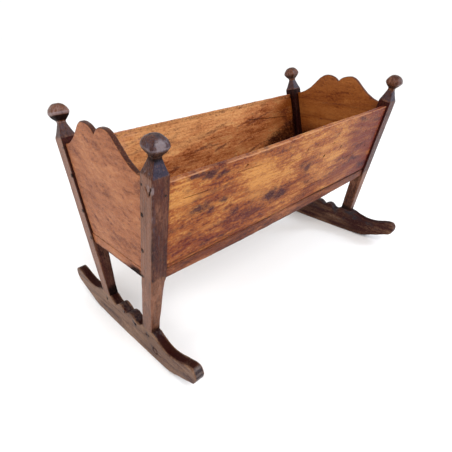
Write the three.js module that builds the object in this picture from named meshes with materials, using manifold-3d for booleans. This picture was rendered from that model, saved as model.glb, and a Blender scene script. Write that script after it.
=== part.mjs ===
// An antique pine baby cradle on two rockers, in millimetres.
// X runs along the cradle, Y across it, Z up; the origin is on the floor under the middle of the cradle.
// Four splayed corner posts with carved ball finials stand on two rockers. Two shaped end panels and two
// side boards, each above its own rail, are let into the posts and held by wooden pegs. Three battens carry
// the loose floor boards.
import * as THREE from 'three';
import { mergeVertices } from 'three/addons/utils/BufferGeometryUtils.js';
import Module from 'manifold-3d';

const wasm = await Module();
wasm.setup();

// ---- Driving dimensions ----
const LENGTH_OVER_POSTS = 960;
const POST = 40;                  // square stock of the corner posts
const SPLAY = Math.atan(0.215);   // lean of the posts and sides away from upright
const FOOT_SPREAD = 101.4;        // from the middle plane to a post's outer face, carried down to the floor
const SHOULDER_HEIGHT = 512.8;    // where the square post ends and the finial begins, on the outer face
const BOX_BOTTOM = 252.6;         // where the square post steps in to the tapered leg
const GAP = 0.3;                  // clearance between pieces that touch

const ROCKER = { thickness: 26, padHeight: 90.7, centreFlat: 40, bellyRadius: 3700, bellyEnd: 160,
  heelRadius: 128, heelSlope: THREE.MathUtils.degToRad(21.5) };
// A rocker's heel: its reach from the middle, then its end and top edge up to the pad.
const HEELS = {
  short: {
    reach: 287.5,
    top: [[286.5, 58], [287.5, 70], [284, 81], [276, 87], [264, 86], [241, 79], [222, 72.5], [201, 67],
      [181, 65.5], [165, 68], [152, 73], [138, 81], [126, 88.5]],
  },
  long: {
    reach: 298,
    top: [[295.5, 56], [298, 68], [296, 79.5], [288.5, 87.5], [277, 89.5], [260, 86], [240, 79.5],
      [220, 74.5], [199, 72.5], [178, 74.5], [160, 78.5], [144, 84], [130, 89]],
  },
};
const LEG_DEPTH = 38.5;           // the leg across its leaning face, at the foot
const FOOT_TENON = { from: 7, to: 19, outer: 5, inner: 33, depth: 45 };

const PANEL = { thickness: 12, recess: 4.8, tongue: 12, bottom: 277 };
const END_RAIL_BOTTOM = 250;
const BOARD = { thickness: 14, recess: 6.4, tenon: 8, tongue: 18, bottom: 274.3, top: 498.5 };
const SIDE_RAIL = { proud: 0.8, endDepth: 26, midDepth: 36 };
const FLOOR = { top: 275.8, thickness: 12, gap: 1.2 };
const BATTEN = { width: 34, thickness: 17, spacing: 330, stub: 8, stubWidth: 24, stubThickness: 9 };

const PEG_RADIUS = 3.2;
const PEG_SUNK = 0.4;
const PEG_LENGTH = 29;
const PANEL_PEG_HEIGHTS = [496, 428, 337, 264.5];
const PANEL_PEG_DEPTH = 34;       // from the post's outer leaning face
const SIDE_PEG_INSET = 31;        // from the post's end face
const SIDE_PEG_HEIGHTS = [472, 264];
const FOOT_PEG = { across: 103.5, height: 69.3 };
const PLUG = { across: 126, height: 34, radius: 8, depth: 14 };

const HALF = LENGTH_OVER_POSTS / 2;
const LEAN = { sin: Math.sin(SPLAY), cos: Math.cos(SPLAY), tan: Math.tan(SPLAY) };

const paint = (color, roughness) => new THREE.MeshStandardMaterial({ color, roughness, metalness: 0 });
const WOOD = {
  post: paint(0x6b4a3a, 0.45),
  rocker: paint(0x6a4c3c, 0.5),
  panel: paint(0xa9714f, 0.5),
  board: paint(0xb4743f, 0.42),
  rail: paint(0x9a6444, 0.5),
  floor: paint(0x9a7448, 0.7),
  peg: paint(0x3d281e, 0.6),
};

// ---- Small helpers ----
// The leaning frame of one side: its local Z runs up the slope of the posts' outer face, its local Y points
// out of that face, and its origin is where the face meets the floor. side is +1 or -1 along Y.
function leaning(side) {
  const frame = new THREE.Group();
  frame.position.set(0, side * FOOT_SPREAD, 0);
  frame.rotation.x = -side * SPLAY;
  frame.updateMatrix();
  return frame;
}

// Local Z, in the leaning frame, of a point at a world height and a depth behind the outer face.
const alongSlope = (height, depth = 0) => (height - depth * LEAN.sin) / LEAN.cos;
// World Y of a point at a world height and a depth behind the posts' outer face, on the +Y side.
const acrossAt = (height, depth) => FOOT_SPREAD + height * LEAN.tan - depth / LEAN.cos;

function solidOf(geometry) {
  const bare = new THREE.BufferGeometry();
  bare.setAttribute('position', geometry.getAttribute('position').clone());
  bare.setIndex(geometry.getIndex());
  const merged = mergeVertices(bare, 1e-4);
  return new wasm.Manifold(new wasm.Mesh({
    numProp: 3,
    vertProperties: new Float32Array(merged.getAttribute('position').array),
    triVerts: new Uint32Array(merged.getIndex().array),
  }));
}

function geometryOf(solid) {
  const { vertProperties, triVerts } = solid.getMesh();
  const geometry = new THREE.BufferGeometry();
  geometry.setAttribute('position', new THREE.BufferAttribute(vertProperties, 3));
  geometry.setIndex(new THREE.BufferAttribute(triVerts, 1));
  return geometry;
}

// body with every geometry in added joined on and every geometry in removed cut away.
function carve(body, removed, added = []) {
  let solid = solidOf(body);
  for (const geometry of added) {
    solid = solid.add(solidOf(geometry));
  }
  for (const geometry of removed) {
    solid = solid.subtract(solidOf(geometry));
  }
  return geometryOf(solid);
}

// A box between two opposite corners.
function block([x0, y0, z0], [x1, y1, z1]) {
  const box = new THREE.BoxGeometry(Math.abs(x1 - x0), Math.abs(y1 - y0), Math.abs(z1 - z0));
  return box.translate((x0 + x1) / 2, (y0 + y1) / 2, (z0 + z1) / 2);
}

// A shape drawn as (across, up), extruded along X from one x to another.
function alongX(shape, fromX, toX, curveSegments = 8) {
  const options = { depth: toX - fromX, bevelEnabled: false, curveSegments };
  const turned = new THREE.Matrix4().makeBasis(
    new THREE.Vector3(0, 1, 0), new THREE.Vector3(0, 0, 1), new THREE.Vector3(1, 0, 0));
  return new THREE.ExtrudeGeometry(shape, options).applyMatrix4(turned).translate(fromX, 0, 0);
}

// A shape drawn as (along, up), extruded along Y from one y to another.
function alongY(shape, fromY, toY, curveSegments = 8) {
  const options = { depth: toY - fromY, bevelEnabled: false, curveSegments };
  return new THREE.ExtrudeGeometry(shape, options).rotateX(Math.PI / 2).translate(0, toY, 0);
}

const polygon = (points) => new THREE.Shape(points.map(([a, b]) => new THREE.Vector2(a, b)));

// The same geometry seen in a mirror across the middle plane y = 0.
function mirrored(geometry) {
  const copy = geometry.clone().scale(1, -1, 1);
  const index = copy.getIndex().array;
  for (let i = 0; i < index.length; i += 3) {
    [index[i], index[i + 1]] = [index[i + 1], index[i]];
  }
  return copy;
}

function piece(name, geometry, material) {
  const mesh = new THREE.Mesh(geometry, material);
  mesh.name = name;
  return mesh;
}

// A closed skin through rings of equally many points, each ring running the same way round.
function skin(rings, apex) {
  const count = rings[0].length;
  const points = rings.flat();
  const bottom = points.push(middleOf(rings[0])) - 1;
  const top = points.push(apex) - 1;
  const index = [];
  for (let i = 0; i < count; i += 1) {
    const next = (i + 1) % count;
    index.push(bottom, next, i);
    for (let r = 0; r + 1 < rings.length; r += 1) {
      const [low, high] = [r * count, (r + 1) * count];
      index.push(low + i, low + next, high + next, low + i, high + next, high + i);
    }
    const last = (rings.length - 1) * count;
    index.push(last + i, last + next, top);
  }
  const geometry = new THREE.BufferGeometry().setFromPoints(points);
  geometry.setIndex(index);
  return geometry;
}

function middleOf(ring) {
  const sum = ring.reduce((total, point) => total.add(point), new THREE.Vector3());
  return sum.divideScalar(ring.length);
}

// ---- Pegs ----
// A peg lies along local X or Y; spot is its outer end in the leaning frame of one side.
function pegGeometry(radius, length) {
  return new THREE.CylinderGeometry(radius, radius, length, 12).translate(0, -length / 2, 0);
}

// Panel pegs enter the post's end face, side pegs its outer leaning face.
const panelPegSpots = PANEL_PEG_HEIGHTS.map((height) => new THREE.Vector3(
  HALF - PEG_SUNK, -PANEL_PEG_DEPTH, alongSlope(height, PANEL_PEG_DEPTH)));
const sidePegSpots = SIDE_PEG_HEIGHTS.map((height) => new THREE.Vector3(
  HALF - SIDE_PEG_INSET, -PEG_SUNK, alongSlope(height)));
const footPegSpot = new THREE.Vector3(HALF - PEG_SUNK, FOOT_PEG.across, FOOT_PEG.height);

// Holes for those pegs, in the frame of the end, on the +Y side.
function holeAt(spot, turn, length, frame = null, radius = PEG_RADIUS) {
  const hole = pegGeometry(radius + GAP, length + PEG_SUNK + 2 * GAP);
  hole.rotateZ(turn).translate(spot.x, spot.y, spot.z);
  return frame ? hole.applyMatrix4(frame.matrix) : hole;
}

const INTO_END = -Math.PI / 2;    // turns a peg so that it runs in from the +X end face
// A hole starts a little outside the face, so that it breaks cleanly through it.
const outwardX = (spot) => spot.clone().add(new THREE.Vector3(PEG_SUNK + GAP, 0, 0));
const outwardY = (spot) => spot.clone().add(new THREE.Vector3(0, PEG_SUNK + GAP, 0));
const panelPegHoles = () => panelPegSpots.map(
  (spot) => holeAt(outwardX(spot), INTO_END, PEG_LENGTH, leaning(1)));
const sidePegHoles = () => sidePegSpots.map(
  (spot) => holeAt(outwardY(spot), 0, PEG_LENGTH, leaning(1)));
const footPegLength = ROCKER.thickness - 2 * PEG_SUNK;
const footPegHole = () => holeAt(outwardX(footPegSpot), INTO_END, ROCKER.thickness + 2);

// ---- Corner post with its leg and finial ----
// One ring of the post: a square whose corners are rounded by a share from 0 to 1.
// x is the inset from the end face and y the depth behind the outer leaning face.
const RING_POINTS = 16;
function postRing({ x, y, slope, level = false, round = 0 }) {
  const ring = [];
  for (let i = 0; i < RING_POINTS; i += 1) {
    const angle = (2 * Math.PI * i) / RING_POINTS;
    const [c, s] = [Math.cos(angle), Math.sin(angle)];
    const reach = 1 / Math.max(Math.abs(c), Math.abs(s));
    const scale = round + (1 - round) * reach;
    const inset = (x[0] + x[1]) / 2 - (c * scale * (x[1] - x[0])) / 2;
    const depth = (y[0] + y[1]) / 2 - (s * scale * (y[1] - y[0])) / 2;
    ring.push(new THREE.Vector3(HALF - inset, -depth, slope - (level ? depth * LEAN.tan : 0)));
  }
  return ring;
}

// Leg: height above the floor, inset of its inner face and depth of its inner leaning face.
const LEG_RINGS = [
  [ROCKER.padHeight + GAP, ROCKER.thickness, LEG_DEPTH],
  [119.5, 26.2, 38.7],
  [150.4, 28.8, 39],
  [182.4, 31, 39.3],
  [214.4, 33, 39.6],
  [BOX_BOTTOM - 4, 36.2, POST],
  [BOX_BOTTOM, POST, POST],
];
// Finial: distance above the shoulder, half width across the flats, roundness.
const FINIAL_RINGS = [
  [0, 20, 0], [8, 17.4, 0.05], [16, 14.7, 0.1], [24, 12.2, 0.15], [30, 10.2, 0.25], [35, 9.6, 0.3],
  [39, 11, 0.35], [44, 17.2, 0.4], [50, 22, 0.45], [56, 23.9, 0.5], [62, 23.3, 0.5], [69, 20.2, 0.55],
  [75, 15.2, 0.65], [78.6, 9, 0.8],
];
const FINIAL_HEIGHT = 80;

function postBody() {
  const rings = LEG_RINGS.map(([height, inset, depth]) => postRing({
    x: [0, inset], y: [0, depth], slope: height / LEAN.cos, level: true }));
  const shoulder = alongSlope(SHOULDER_HEIGHT);
  for (const [above, half, round] of FINIAL_RINGS) {
    const span = [POST / 2 - half, POST / 2 + half];
    rings.push(postRing({ x: span, y: span, slope: shoulder + above, round }));
  }
  return skin(rings, new THREE.Vector3(HALF - POST / 2, -POST / 2, shoulder + FINIAL_HEIGHT));
}

// The tenon under the leg; play enlarges it into the mortise that receives it.
function footTenon(play, rise) {
  const top = ROCKER.padHeight / LEAN.cos;
  return block(
    [HALF - FOOT_TENON.to - play, -FOOT_TENON.inner - play, top - FOOT_TENON.depth - play],
    [HALF - FOOT_TENON.from + play, -FOOT_TENON.outer + play, top + rise]);
}

// The right-hand back post, in the frame of the right end.
function postGeometry() {
  const frame = leaning(1);
  const inner = HALF - POST;
  const panelGroove = block(
    [HALF - PANEL.recess + GAP, -POST - 5, alongSlope(END_RAIL_BOTTOM, POST) - 6],
    [HALF - PANEL.recess - PANEL.thickness - GAP, -POST + PANEL.tongue + GAP,
      alongSlope(PANEL_TOP.postHeight, POST - PANEL.tongue) + 1]);
  const tenonDepth = BOARD.recess + (BOARD.thickness - BOARD.tenon) / 2;
  const mortise = (low, high) => block(
    [inner - 5, -tenonDepth + GAP, low - GAP],
    [inner + BOARD.tongue + GAP, -tenonDepth - BOARD.tenon - GAP, high + GAP]);
  const cuts = [panelGroove, mortise(...BOARD_TENON), mortise(...RAIL_TENON)];
  const body = carve(postBody(), cuts, [footTenon(0, 5)]);
  return carve(body.applyMatrix4(frame.matrix), [...panelPegHoles(), ...sidePegHoles(), footPegHole()]);
}

// Tenons of the side board and its rail, as spans up the slope.
const BOARD_TENON = [alongSlope(281), alongSlope(485)];
const RAIL_TENON = [alongSlope(256.5), alongSlope(271)];

// ---- Rocker ----
// Half of its outline is drawn from the middle of the sole round to the notch in the middle of its top.
function rockerOutline({ reach, top }) {
  const { bellyRadius: belly, bellyEnd, heelRadius: heel, heelSlope, centreFlat, padHeight } = ROCKER;
  const start = Math.asin(centreFlat / belly);
  const end = Math.asin(bellyEnd / belly);
  const sink = belly * (1 - Math.cos(start));
  const half = new THREE.Path();
  half.moveTo(centreFlat, 0);
  half.absarc(0, belly - sink, belly, start - Math.PI / 2, end - Math.PI / 2);
  const heelCentre = [(belly - heel) * Math.sin(end), belly - sink - (belly - heel) * Math.cos(end)];
  half.absarc(...heelCentre, heel, end - Math.PI / 2, heelSlope - Math.PI / 2);
  const cornerRun = reach - 12 - heelCentre[0] - heel * Math.sin(heelSlope);
  const cornerRise = heelCentre[1] - heel * Math.cos(heelSlope) + cornerRun * Math.tan(heelSlope);
  half.lineTo(reach - 12, cornerRise);
  half.splineThru([...top, [121, padHeight]].map(toVector));
  half.lineTo(81, padHeight);
  half.splineThru([[72, 85.5], [64, 77.5], [56, 75.6], [47, 79], [38, 88], [28, 91.7], [17, 90.6],
    [7, 85], [0, 79.5]].map(toVector));
  return half;
}

const toVector = ([a, b]) => new THREE.Vector2(a, b);

// Points of a half outline and of its mirror image, or of another half turned over, running once round.
function symmetricShape(half, divisions, otherHalf = half) {
  const [points, others] = [half, otherHalf].map((path) => path.getPoints(divisions)
    .filter((point, i, all) => i === 0 || point.distanceTo(all[i - 1]) > 0.5));
  const turned = others.filter((point) => point.x > 0.5).map((point) => new THREE.Vector2(-point.x, point.y));
  return new THREE.Shape([...points, ...turned.reverse()]);
}

// One rocker; nearHeel is its heel on the +Y side.
function rockerGeometry(nearHeel) {
  const outline = symmetricShape(rockerOutline(nearHeel), 3, rockerOutline(HEELS.long));
  const body = alongX(outline, HALF - ROCKER.thickness, HALF);
  const plugHole = holeAt(new THREE.Vector3(HALF + GAP, PLUG.across, PLUG.height), INTO_END,
    PLUG.depth, null, PLUG.radius);
  const oneSide = [footTenon(GAP, 30).applyMatrix4(leaning(1).matrix), footPegHole()];
  return { plain: carve(body, [...oneSide, ...oneSide.map(mirrored)]), plugHole };
}

// ---- End panel and its rail ----
// Half of the top edge: a lobe beside the middle notch, then a hollow that runs down to the post.
const PANEL_TOP = { notch: 560, peak: 579.2, peakAt: 49, hip: [96, 547], postHeight: 505.6 };

function panelShape(low) {
  const reach = (height) => acrossAt(height, POST - PANEL.tongue);
  const { notch, peak, peakAt, hip, postHeight } = PANEL_TOP;
  const half = new THREE.Path();
  half.moveTo(0, low);
  half.lineTo(reach(low), low);
  half.lineTo(reach(postHeight), postHeight);
  half.lineTo(acrossAt(postHeight, POST) - 2, postHeight);
  half.quadraticCurveTo(133, 512, ...hip);
  half.quadraticCurveTo(66, peak, peakAt, peak);
  half.quadraticCurveTo(13, peak, 0, notch);
  return symmetricShape(half, 6);
}

const panelSpan = [HALF - PANEL.recess - PANEL.thickness, HALF - PANEL.recess];

function panelGeometry() {
  const holes = panelPegHoles();
  return carve(alongX(panelShape(PANEL.bottom), ...panelSpan), [...holes, ...holes.map(mirrored)]);
}

function endRailGeometry() {
  const top = PANEL.bottom - GAP;
  const reach = (height) => acrossAt(height, POST - PANEL.tongue);
  const [narrow, wide] = [reach(END_RAIL_BOTTOM), reach(top)];
  const outline = polygon([[-narrow, END_RAIL_BOTTOM], [narrow, END_RAIL_BOTTOM], [wide, top], [-wide, top]]);
  const holes = panelPegHoles();
  return carve(alongX(outline, ...panelSpan), [...holes, ...holes.map(mirrored)]);
}

// ---- Side board and its rail, on the +Y side ----
const innerX = HALF - POST - GAP;
const boardBack = -BOARD.recess - BOARD.thickness;
const tenonFront = -BOARD.recess - (BOARD.thickness - BOARD.tenon) / 2;

// A pair of tenons as one slab that runs the whole length of the piece.
const tenonSlab = ([low, high]) => block(
  [-innerX - BOARD.tongue + GAP, tenonFront - BOARD.tenon, low],
  [innerX + BOARD.tongue - GAP, tenonFront, high]);

// Each peg hole at one end and again at the other end.
function atBothEnds(holes) {
  return [...holes, ...holes.map((hole) => {
    const turned = mirrored(hole);
    return turned.rotateZ(Math.PI);
  })];
}

// topLine lists heights along the top edge, from the -X end to the +X end.
function sideBoardGeometry(topLine) {
  const low = alongSlope(BOARD.bottom, BOARD.recess);
  const edge = topLine.map(([x, height]) => new THREE.Vector2(x, alongSlope(height, BOARD.recess)));
  const outline = new THREE.Shape();
  outline.moveTo(innerX, low);
  outline.lineTo(edge.at(-1).x, edge.at(-1).y);
  outline.splineThru(edge.slice(0, -1).reverse());
  outline.lineTo(-innerX, low);
  const body = alongY(outline, boardBack, -BOARD.recess, 4);
  const frame = leaning(1);
  const board = carve(body, [], [tenonSlab(BOARD_TENON)]).applyMatrix4(frame.matrix);
  return carve(board, atBothEnds(sidePegHoles()));
}

const STRAIGHT_TOP = [[-innerX, BOARD.top], [innerX, BOARD.top]];
// The front board's top edge is worn uneven. Its right-hand end is local -X.
const WORN_TOP = [[-innerX, 500.5], [-375, 499.3], [-300, 498.3], [-150, 498.6], [0, 496], [110, 493.4],
  [200, 492.5], [280, 493.5], [375, 495.2], [innerX, 493.5]];

const battenSpots = [-BATTEN.spacing, 0, BATTEN.spacing];
const battenTop = FLOOR.top - FLOOR.thickness - GAP;
const battenBottom = battenTop - BATTEN.thickness;

// The stub tenons of one batten, as one bar; play enlarges it into the mortises that receive it.
function battenStub(x, play) {
  const middle = (battenTop + battenBottom) / 2;
  const low = middle - BATTEN.stubThickness / 2 - play;
  const high = middle + BATTEN.stubThickness / 2 + play;
  const reach = (height) => acrossAt(height, -boardBack - BATTEN.stub) + play;
  const bar = polygon([[-reach(low), low], [reach(low), low], [reach(high), high], [-reach(high), high]]);
  return alongX(bar, x - BATTEN.stubWidth / 2 - play, x + BATTEN.stubWidth / 2 + play);
}

function sideRailGeometry() {
  const high = alongSlope(BOARD.bottom, BOARD.recess) - GAP;
  const { proud, endDepth, midDepth } = SIDE_RAIL;
  const outline = new THREE.Shape();
  outline.moveTo(-innerX, high - endDepth);
  outline.quadraticCurveTo(0, high + endDepth - 2 * midDepth, innerX, high - endDepth);
  outline.lineTo(innerX, high);
  outline.lineTo(-innerX, high);
  const body = alongY(outline, boardBack, -BOARD.recess + proud, 16);
  const rail = carve(body, [], [tenonSlab(RAIL_TENON)]).applyMatrix4(leaning(1).matrix);
  const mortises = battenSpots.map((x) => battenStub(x, GAP));
  return carve(rail, [...mortises, ...atBothEnds(sidePegHoles())]);
}

// ---- Floor ----
function battenGeometry() {
  const reach = (height) => acrossAt(height, -boardBack) - GAP;
  const outline = polygon([[-reach(battenBottom), battenBottom], [reach(battenBottom), battenBottom],
    [reach(battenTop), battenTop], [-reach(battenTop), battenTop]]);
  return carve(alongX(outline, -BATTEN.width / 2, BATTEN.width / 2), [], [battenStub(0, 0)]);
}

const floorReach = acrossAt(FLOOR.top - FLOOR.thickness, -boardBack) - 2 * GAP;
const floorEnd = panelSpan[0] - 2 * GAP;
const floorBoardWidth = (2 * floorReach - 2 * FLOOR.gap) / 3;

// The outer floor boards are notched round the posts; side is +1, 0 or -1.
function floorBoardGeometry(side) {
  const middle = side * (floorBoardWidth + FLOOR.gap);
  const low = FLOOR.top - FLOOR.thickness;
  const body = block([-floorEnd, middle - floorBoardWidth / 2, low],
    [floorEnd, middle + floorBoardWidth / 2, FLOOR.top]);
  const notchFrom = acrossAt(low, POST) - 2 * GAP;
  const notches = side === 0 ? [] : [-1, 1].map((end) => block(
    [end * innerX, side * notchFrom, low - 5], [end * HALF, side * (notchFrom + POST), FLOOR.top + 5]));
  return notches.length ? carve(body, notches) : body;
}

// ---- Assembly ----
const cradle = new THREE.Group();

const rightBackPost = postGeometry();
const rightFrontPost = mirrored(rightBackPost);
const rockers = { right: rockerGeometry(HEELS.long), left: rockerGeometry(HEELS.short) };
const panel = panelGeometry();
const endRail = endRailGeometry();
const longPeg = pegGeometry(PEG_RADIUS, PEG_LENGTH);
const footPeg = pegGeometry(PEG_RADIUS, footPegLength);

function addPeg(parent, name, geometry, spot, turn) {
  const peg = piece(name, geometry, WOOD.peg);
  peg.position.copy(spot);
  peg.rotation.z = turn;
  parent.add(peg);
}

// Everything at one end, built for +X; the left-hand end is the same turned half round.
for (const end of ['right', 'left']) {
  const group = new THREE.Group();
  group.rotation.z = end === 'right' ? 0 : Math.PI;
  cradle.add(group);
  const { plain, plugHole } = rockers[end];
  const rockerShape = end === 'right' ? plain : carve(plain, [plugHole]);
  group.add(piece(`rocker_${end}`, rockerShape, WOOD.rocker));
  group.add(piece(`end_panel_${end}`, panel, WOOD.panel));
  group.add(piece(`end_rail_${end}`, endRail, WOOD.rail));
  for (const side of [1, -1]) {
    const where = (end === 'right') === (side === 1) ? 'back' : 'front';
    const corner = `${end}_${where}`;
    group.add(piece(`post_${corner}`, side === 1 ? rightBackPost : rightFrontPost, WOOD.post));
    const frame = leaning(side);
    group.add(frame);
    panelPegSpots.forEach((spot, i) => {
      const place = spot.clone().setY(side * spot.y);
      addPeg(frame, `panel_peg_${corner}_${i + 1}`, longPeg, place, INTO_END);
    });
    sidePegSpots.forEach((spot, i) => {
      const place = spot.clone().setY(side * spot.y);
      addPeg(frame, `side_peg_${corner}_${i + 1}`, longPeg, place, side === 1 ? 0 : Math.PI);
    });
    addPeg(group, `foot_peg_${corner}`, footPeg, footPegSpot.clone().setY(side * footPegSpot.y), INTO_END);
  }
  if (end === 'left') {
    const spot = new THREE.Vector3(HALF - GAP, PLUG.across, PLUG.height);
    addPeg(group, 'rocker_plug', pegGeometry(PLUG.radius, PLUG.depth - 2 * GAP), spot, INTO_END);
  }
}

// The two long sides, built for +Y; the front one is the same turned half round.
const sideRail = sideRailGeometry();
for (const [side, topLine] of [['back', STRAIGHT_TOP], ['front', WORN_TOP]]) {
  const group = new THREE.Group();
  group.rotation.z = side === 'back' ? 0 : Math.PI;
  cradle.add(group);
  group.add(piece(`side_board_${side}`, sideBoardGeometry(topLine), WOOD.board));
  group.add(piece(`side_rail_${side}`, sideRail, WOOD.rail));
}

const batten = battenGeometry();
battenSpots.forEach((x, i) => {
  const mesh = piece(`floor_batten_${['left', 'middle', 'right'][i]}`, batten, WOOD.rail);
  mesh.position.x = x;
  cradle.add(mesh);
});
for (const [name, side] of [['front', -1], ['middle', 0], ['back', 1]]) {
  cradle.add(piece(`floor_board_${name}`, floorBoardGeometry(side), WOOD.floor));
}

export default cradle;
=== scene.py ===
import math

import bpy
import numpy as np
from mathutils import Matrix, Vector, geometry, noise


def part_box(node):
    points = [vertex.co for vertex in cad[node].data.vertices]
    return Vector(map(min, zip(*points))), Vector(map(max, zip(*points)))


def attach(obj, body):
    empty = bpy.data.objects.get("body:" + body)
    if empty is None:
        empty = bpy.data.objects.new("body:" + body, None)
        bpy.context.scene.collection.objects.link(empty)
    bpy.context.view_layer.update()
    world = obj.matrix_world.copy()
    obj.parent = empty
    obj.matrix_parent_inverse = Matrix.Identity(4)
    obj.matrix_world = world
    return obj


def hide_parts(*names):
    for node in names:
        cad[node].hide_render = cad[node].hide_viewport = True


# An old waxed pine cradle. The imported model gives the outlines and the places. Every wooden piece is built
# again here with worn edges, hand-planed faces and carved finials, and gets its own wood.

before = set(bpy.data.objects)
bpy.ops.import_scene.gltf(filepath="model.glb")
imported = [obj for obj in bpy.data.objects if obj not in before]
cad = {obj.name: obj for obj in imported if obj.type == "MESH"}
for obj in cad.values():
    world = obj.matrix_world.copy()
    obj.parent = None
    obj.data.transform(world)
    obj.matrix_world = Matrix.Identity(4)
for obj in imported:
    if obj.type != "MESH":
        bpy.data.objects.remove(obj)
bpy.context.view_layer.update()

# ---- Named sizes, in metres ----
SPLAY = math.atan(0.215)  # lean of the posts and the long sides
FOOT_SPREAD = 0.1014  # middle plane to a post's outer face, at the floor
POST = 0.04
SHOULDER = 0.5128 / math.cos(SPLAY)  # up the slope, where the finial begins
PAD_HEIGHT = 0.0907  # height of the rocker's pad under a leg
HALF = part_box("rocker_right")[1].x  # middle to the posts' end faces
ROCKER_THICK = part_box("rocker_right")[1].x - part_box("rocker_right")[0].x
FACE_GRID = 0.007  # spacing of the points on flat faces
RIM_STEP = 0.004  # spacing of the points along an outline
CORNER_ANGLE = 28  # degrees of turn that make a corner of an outline
ROUND_STEPS = 4  # steps round a worn edge
MIDDLE_RING_STEP = 0.006  # spacing of the rings across a plank's edge


# ---- Frames of the leaning sides ----
def lean(side):
    """From (along X, out of the leaning face, up the slope) to the row frame; side is +1 back, -1 front."""
    sin, cos = math.sin(SPLAY), math.cos(SPLAY)
    columns = [(1, 0, 0), (0, side * cos, -sin), (0, side * sin, cos)]
    turn = Matrix(columns).transposed()
    return Matrix.Translation((0, side * FOOT_SPREAD, 0)) @ turn.to_4x4()


def upright(end):
    """From (across, up, out of the end face) to the row frame; end is +1 right, -1 left."""
    columns = [(0, 1, 0), (0, 0, 1), (end, 0, 0)]
    return Matrix(columns).transposed().to_4x4()


# ---- Noise on points ----
def wobble(points, size, seed):
    """Smooth noise from -1 to 1 at each point; size is the length of its lumps, one or three numbers."""
    step = np.broadcast_to(np.asarray(size, float), (3,))
    shift = np.array([seed * 3.17, seed * 7.31, seed * 1.73])
    return np.array([noise.noise(Vector(p)) for p in np.asarray(points) / step + shift])


def smooth(low, high, x):
    """0 below low, 1 above high, and a smooth rise between."""
    t = np.clip((np.asarray(x, float) - low) / (high - low), 0, 1)
    return t * t * (3 - 2 * t)


def near_line(value, at, width):
    """1 on a line and falling smoothly to 0 about two widths away."""
    return np.exp(-((value - at) / width) ** 2)


# ---- Meshes with the layers that the materials read ----
LAYERS = ("wear_and_highlight", "grime_and_shade", "stain_and_sheen", "tone")


def add_object(name, data):
    added = bpy.data.objects.new(name, data)
    bpy.context.scene.collection.objects.link(added)
    return added


def make_piece(name, points, faces, layers, place, smooth_angle=40):
    """A mesh piece from points in a piece's own frame: grain along x, across y, through z."""
    if place.determinant() < 0:
        faces = [f[::-1] for f in faces]
    mesh = bpy.data.meshes.new(name)
    mesh.from_pydata([tuple(place @ Vector(p)) for p in points], [], faces)
    grain = mesh.attributes.new("grain", "FLOAT_VECTOR", "POINT")
    grain.data.foreach_set("vector", np.asarray(points, float).ravel())
    for layer in LAYERS:
        values = np.broadcast_to(np.asarray(layers.get(layer, 0.0), float), (len(points),))
        mesh.attributes.new(layer, "FLOAT", "POINT").data.foreach_set("value", values.copy())
    mesh.polygons.foreach_set("use_smooth", [True] * len(mesh.polygons))
    mesh.set_sharp_from_angle(angle=math.radians(smooth_angle))
    mesh.update()
    return add_object(name, mesh)


def finish_piece(piece, material, slot, *nodes):
    piece.data.materials.append(material)
    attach(piece, "root")
    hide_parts(*nodes)


def side_faces(ring_count, count):
    """Faces between rings of count points each."""
    faces = []
    for r in range(ring_count - 1):
        for i in range(count):
            j = (i + 1) % count
            faces.append((r * count + i, r * count + j, (r + 1) * count + j, (r + 1) * count + i))
    return faces


def loft_faces(ring_count, count):
    """Faces of a closed piece lofted through its rings, with flat caps."""
    last = (ring_count - 1) * count
    caps = [tuple(reversed(range(count))), tuple(range(last, last + count))]
    return side_faces(ring_count, count) + caps


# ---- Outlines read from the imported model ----
def on_face(points):
    """The same places on a face, as points in space."""
    return np.c_[points[:, :2], np.zeros(len(points))]


def local_points(node, place):
    """A CAD node's points in the frame place."""
    back = place.inverted()
    return np.array([back @ v.co for v in cad[node].data.vertices])


def face_loop(node, place, axis, sign=1):
    """The outline of the CAD face furthest out along an axis of the frame place, in its other axes."""
    points = local_points(node, place)
    furthest = (points[:, axis] * sign).max()
    keys = [tuple(np.round(p * 1e5).astype(int)) for p in points]
    others = [i for i in range(3) if i != axis]
    directed = {}
    for poly in cad[node].data.polygons:
        if all(points[v][axis] * sign > furthest - 1e-4 for v in poly.vertices):
            ring = [keys[v] for v in poly.vertices]
            for a, b in zip(ring, ring[1:] + ring[:1]):
                if (b, a) in directed:
                    del directed[(b, a)]
                else:
                    directed[(a, b)] = True
    after = {a: b for a, b in directed}
    loops = []
    while after:
        start, nxt = after.popitem()
        loop = [start]
        while nxt != start:
            loop.append(nxt)
            nxt = after.pop(nxt)
        loops.append(np.array(loop)[:, others] * 1e-5)
    longest = max(loops, key=lambda loop: np.ptp(loop[:, 0]) * np.ptp(loop[:, 1]))
    return longest if signed_area(longest) > 0 else longest[::-1]


def signed_area(loop):
    x, y = loop[:, 0], loop[:, 1]
    return 0.5 * float(np.sum(x * np.roll(y, -1) - y * np.roll(x, -1)))


def corner_angles(loop):
    before = loop - np.roll(loop, 1, axis=0)
    after = np.roll(loop, -1, axis=0) - loop
    cross = before[:, 0] * after[:, 1] - before[:, 1] * after[:, 0]
    dot = (before * after).sum(axis=1)
    return np.degrees(np.arctan2(cross, dot))


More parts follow.
